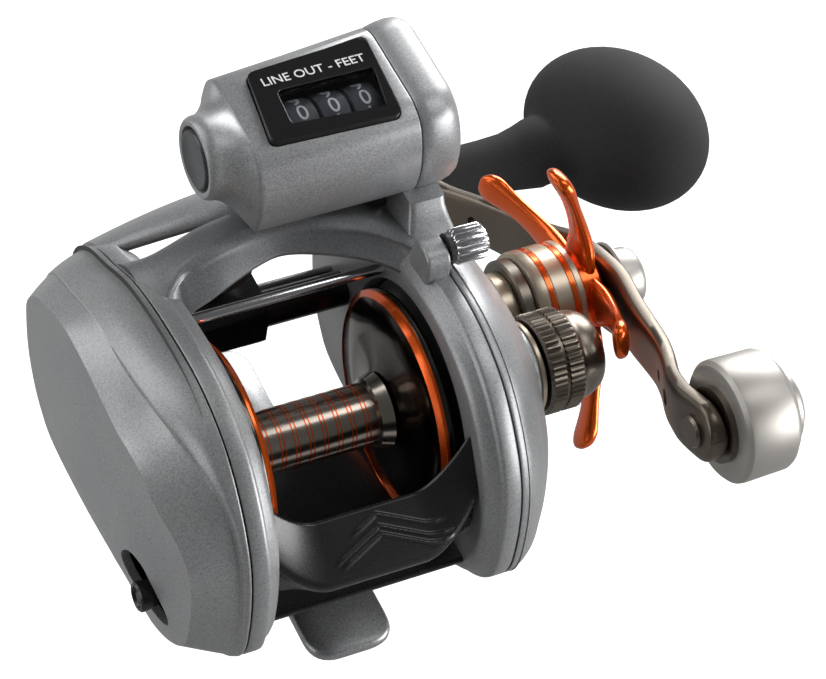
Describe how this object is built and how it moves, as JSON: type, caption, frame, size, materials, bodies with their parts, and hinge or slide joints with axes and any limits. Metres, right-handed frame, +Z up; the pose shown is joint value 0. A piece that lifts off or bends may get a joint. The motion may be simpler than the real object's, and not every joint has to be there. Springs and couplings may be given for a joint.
{
  "type": "trolling reel",
  "caption": "Low-profile trolling reel with crank, star drag, level wind, thumb release bar and a mechanical line counter.",
  "frame": {"origin": "on the flat underside of the reel foot, straight below the spool axis, midway between the spool's flanges", "axes": "+X along the spool axis towards the handle, +Y towards the rod tip, +Z up off the rod"},
  "size_m": [0.1591, 0.1381, 0.0952],
  "materials": {
    "silver_paint": "fine metallic silver-grey paint over die-cast aluminium",
    "graphite_paint": "dark graphite metallic paint",
    "black_plastic": "black satin moulded plastic",
    "dark_gloss": "dark glossy tube",
    "gunmetal": "gunmetal anodised aluminium, polished",
    "orange_anodised": "orange anodised aluminium",
    "bronze": "bronze-grey anodised aluminium",
    "stainless": "brushed stainless steel",
    "chrome": "polished",
    "brass": "machined brass",
    "foam": "matte charcoal EVA foam",
    "lens": "smoked clear window",
    "fibre": "carbon fibre drag washer",
    "wheel_plastic": "dark moulded nylon"
  },
  "bodies": {
    "frame": {"brake_plate": "graphite_paint", "counter_axle": "stainless", "counter_bracket": "silver_paint", "counter_end_cover": "silver_paint", "counter_housing": "silver_paint", "counter_window": "lens", "drive_bearing": "stainless", "drive_collar": "bronze", "foot_screw_1": "stainless", "foot_screw_2": "stainless", "frame": "silver_paint", "front_hood": "silver_paint", "gear_inner_plate": "graphite_paint", "gear_side_plate": "silver_paint", "guide_bar": "chrome", "hub_sleeve": "bronze", "magnet_ring": "graphite_paint", "one_way_clutch": "stainless", "palm_side_plate": "silver_paint", "rear_deck": "black_plastic", "reel_foot": "graphite_paint", "reset_bezel": "silver_paint", "spool_bearing_gear": "stainless", "spool_bearing_palm": "stainless", "stabiliser_bar": "stainless", "tension_boss": "graphite_paint", "thumbscrew": "chrome", "worm_guard": "dark_gloss"},
    "crank": {"drive_shaft": "stainless", "main_gear": "brass", "level_wind_gear": "wheel_plastic", "drag_washer_inner": "fibre", "drag_plate_metal": "stainless", "drag_washer_outer": "fibre", "pressure_plate": "stainless", "ratchet": "stainless", "handle_arm": "bronze", "handle_nut": "stainless", "knob_spindle": "stainless", "counterweight": "stainless"},
    "star": {"star_drag": "orange_anodised"},
    "grip": {"grip_knob": "foam"},
    "spool": {"spool": "gunmetal", "spool_shaft": "stainless", "click_gear": "brass"},
    "yoke": {"clutch_yoke": "black_plastic"},
    "pinion": {"pinion": "brass"},
    "worm": {"worm_shaft": "stainless", "worm_gear": "wheel_plastic"},
    "line_guide": {"carriage": "black_plastic", "line_guide": "stainless"},
    "thumb_bar": {"thumb_bar": "black_plastic"},
    "cast_knob": {"cast_knob": "bronze"},
    "units_wheel": {"units_wheel": "wheel_plastic"},
    "tens_wheel": {"tens_wheel": "wheel_plastic"},
    "hundreds_wheel": {"hundreds_wheel": "wheel_plastic"},
    "reset_button": {"reset_button": "graphite_paint"},
    "clicker": {"clicker_knob": "black_plastic", "clicker_tongue": "stainless"},
    "pawl": {"anti_reverse_pawl": "stainless"}
  },
  "joints": [
    {"name": "crank_turn", "type": "hinge", "parent": "frame", "child": "crank", "pos_m": [0, 0.0183, 0.0195], "axis": [1, 0, 0], "continuous": true},
    {"name": "star_turn", "type": "hinge", "parent": "crank", "child": "star", "pos_m": [0, 0.0183, 0.0195], "axis": [1, 0, 0], "range_deg": [-180, 180]},
    {"name": "grip_turn", "type": "hinge", "parent": "crank", "child": "grip", "pos_m": [0, 0.07, -0.0045], "axis": [1, 0, 0], "continuous": true},
    {"name": "spool_turn", "type": "hinge", "parent": "frame", "child": "spool", "pos_m": [0, 0, 0.027], "axis": [1, 0, 0], "continuous": true},
    {"name": "yoke_lift", "type": "slide", "parent": "frame", "child": "yoke", "axis": [1, 0, 0], "range_m": [0, 0.002]},
    {"name": "pinion_turn", "type": "hinge", "parent": "yoke", "child": "pinion", "pos_m": [0, 0, 0.027], "axis": [1, 0, 0], "continuous": true},
    {"name": "worm_turn", "type": "hinge", "parent": "frame", "child": "worm", "pos_m": [0, 0.0285, 0.026], "axis": [1, 0, 0], "continuous": true},
    {"name": "line_guide_travel", "type": "slide", "parent": "frame", "child": "line_guide", "axis": [1, 0, 0], "range_m": [-0.0055, 0.014]},
    {"name": "thumb_bar_press", "type": "slide", "parent": "frame", "child": "thumb_bar", "axis": [0, 0, -1], "range_m": [0, 0.005], "stiffness_N_per_m": 200, "springref_m": -0.002},
    {"name": "cast_knob_turn", "type": "hinge", "parent": "frame", "child": "cast_knob", "pos_m": [0, 0, 0.027], "axis": [1, 0, 0], "range_deg": [-270, 270]},
    {"name": "units_turn", "type": "hinge", "parent": "frame", "child": "units_wheel", "pos_m": [0, 0.0335, 0.0658], "axis": [1, 0, 0], "continuous": true},
    {"name": "tens_turn", "type": "hinge", "parent": "frame", "child": "tens_wheel", "pos_m": [0, 0.0335, 0.0658], "axis": [1, 0, 0], "continuous": true},
    {"name": "hundreds_turn", "type": "hinge", "parent": "frame", "child": "hundreds_wheel", "pos_m": [0, 0.0335, 0.0658], "axis": [1, 0, 0], "continuous": true},
    {"name": "reset_press", "type": "slide", "parent": "frame", "child": "reset_button", "axis": [1, 0, 0], "range_m": [0, 0.002], "stiffness_N_per_m": 200, "springref_m": -0.001},
    {"name": "clicker_slide", "type": "slide", "parent": "frame", "child": "clicker", "axis": [0, 0.7901, 0.613], "range_m": [0, 0.005]},
    {"name": "pawl_lift", "type": "hinge", "parent": "frame", "child": "pawl", "pos_m": [0, 0.0032, 0.0329], "axis": [1, 0, 0], "range_deg": [0, 12]}
  ],
  "couplings": [
    {"joint": "spool_turn", "follows": "crank_turn", "ratio": -5.4},
    {"joint": "pinion_turn", "follows": "crank_turn", "ratio": -5.4},
    {"joint": "worm_turn", "follows": "crank_turn", "ratio": -2},
    {"joint": "units_turn", "follows": "crank_turn", "ratio": 0.2},
    {"joint": "tens_turn", "follows": "crank_turn", "ratio": 0.02},
    {"joint": "hundreds_turn", "follows": "crank_turn", "ratio": 0.002},
    {"joint": "yoke_lift", "follows": "thumb_bar_press", "ratio": 0.4}
  ]
}
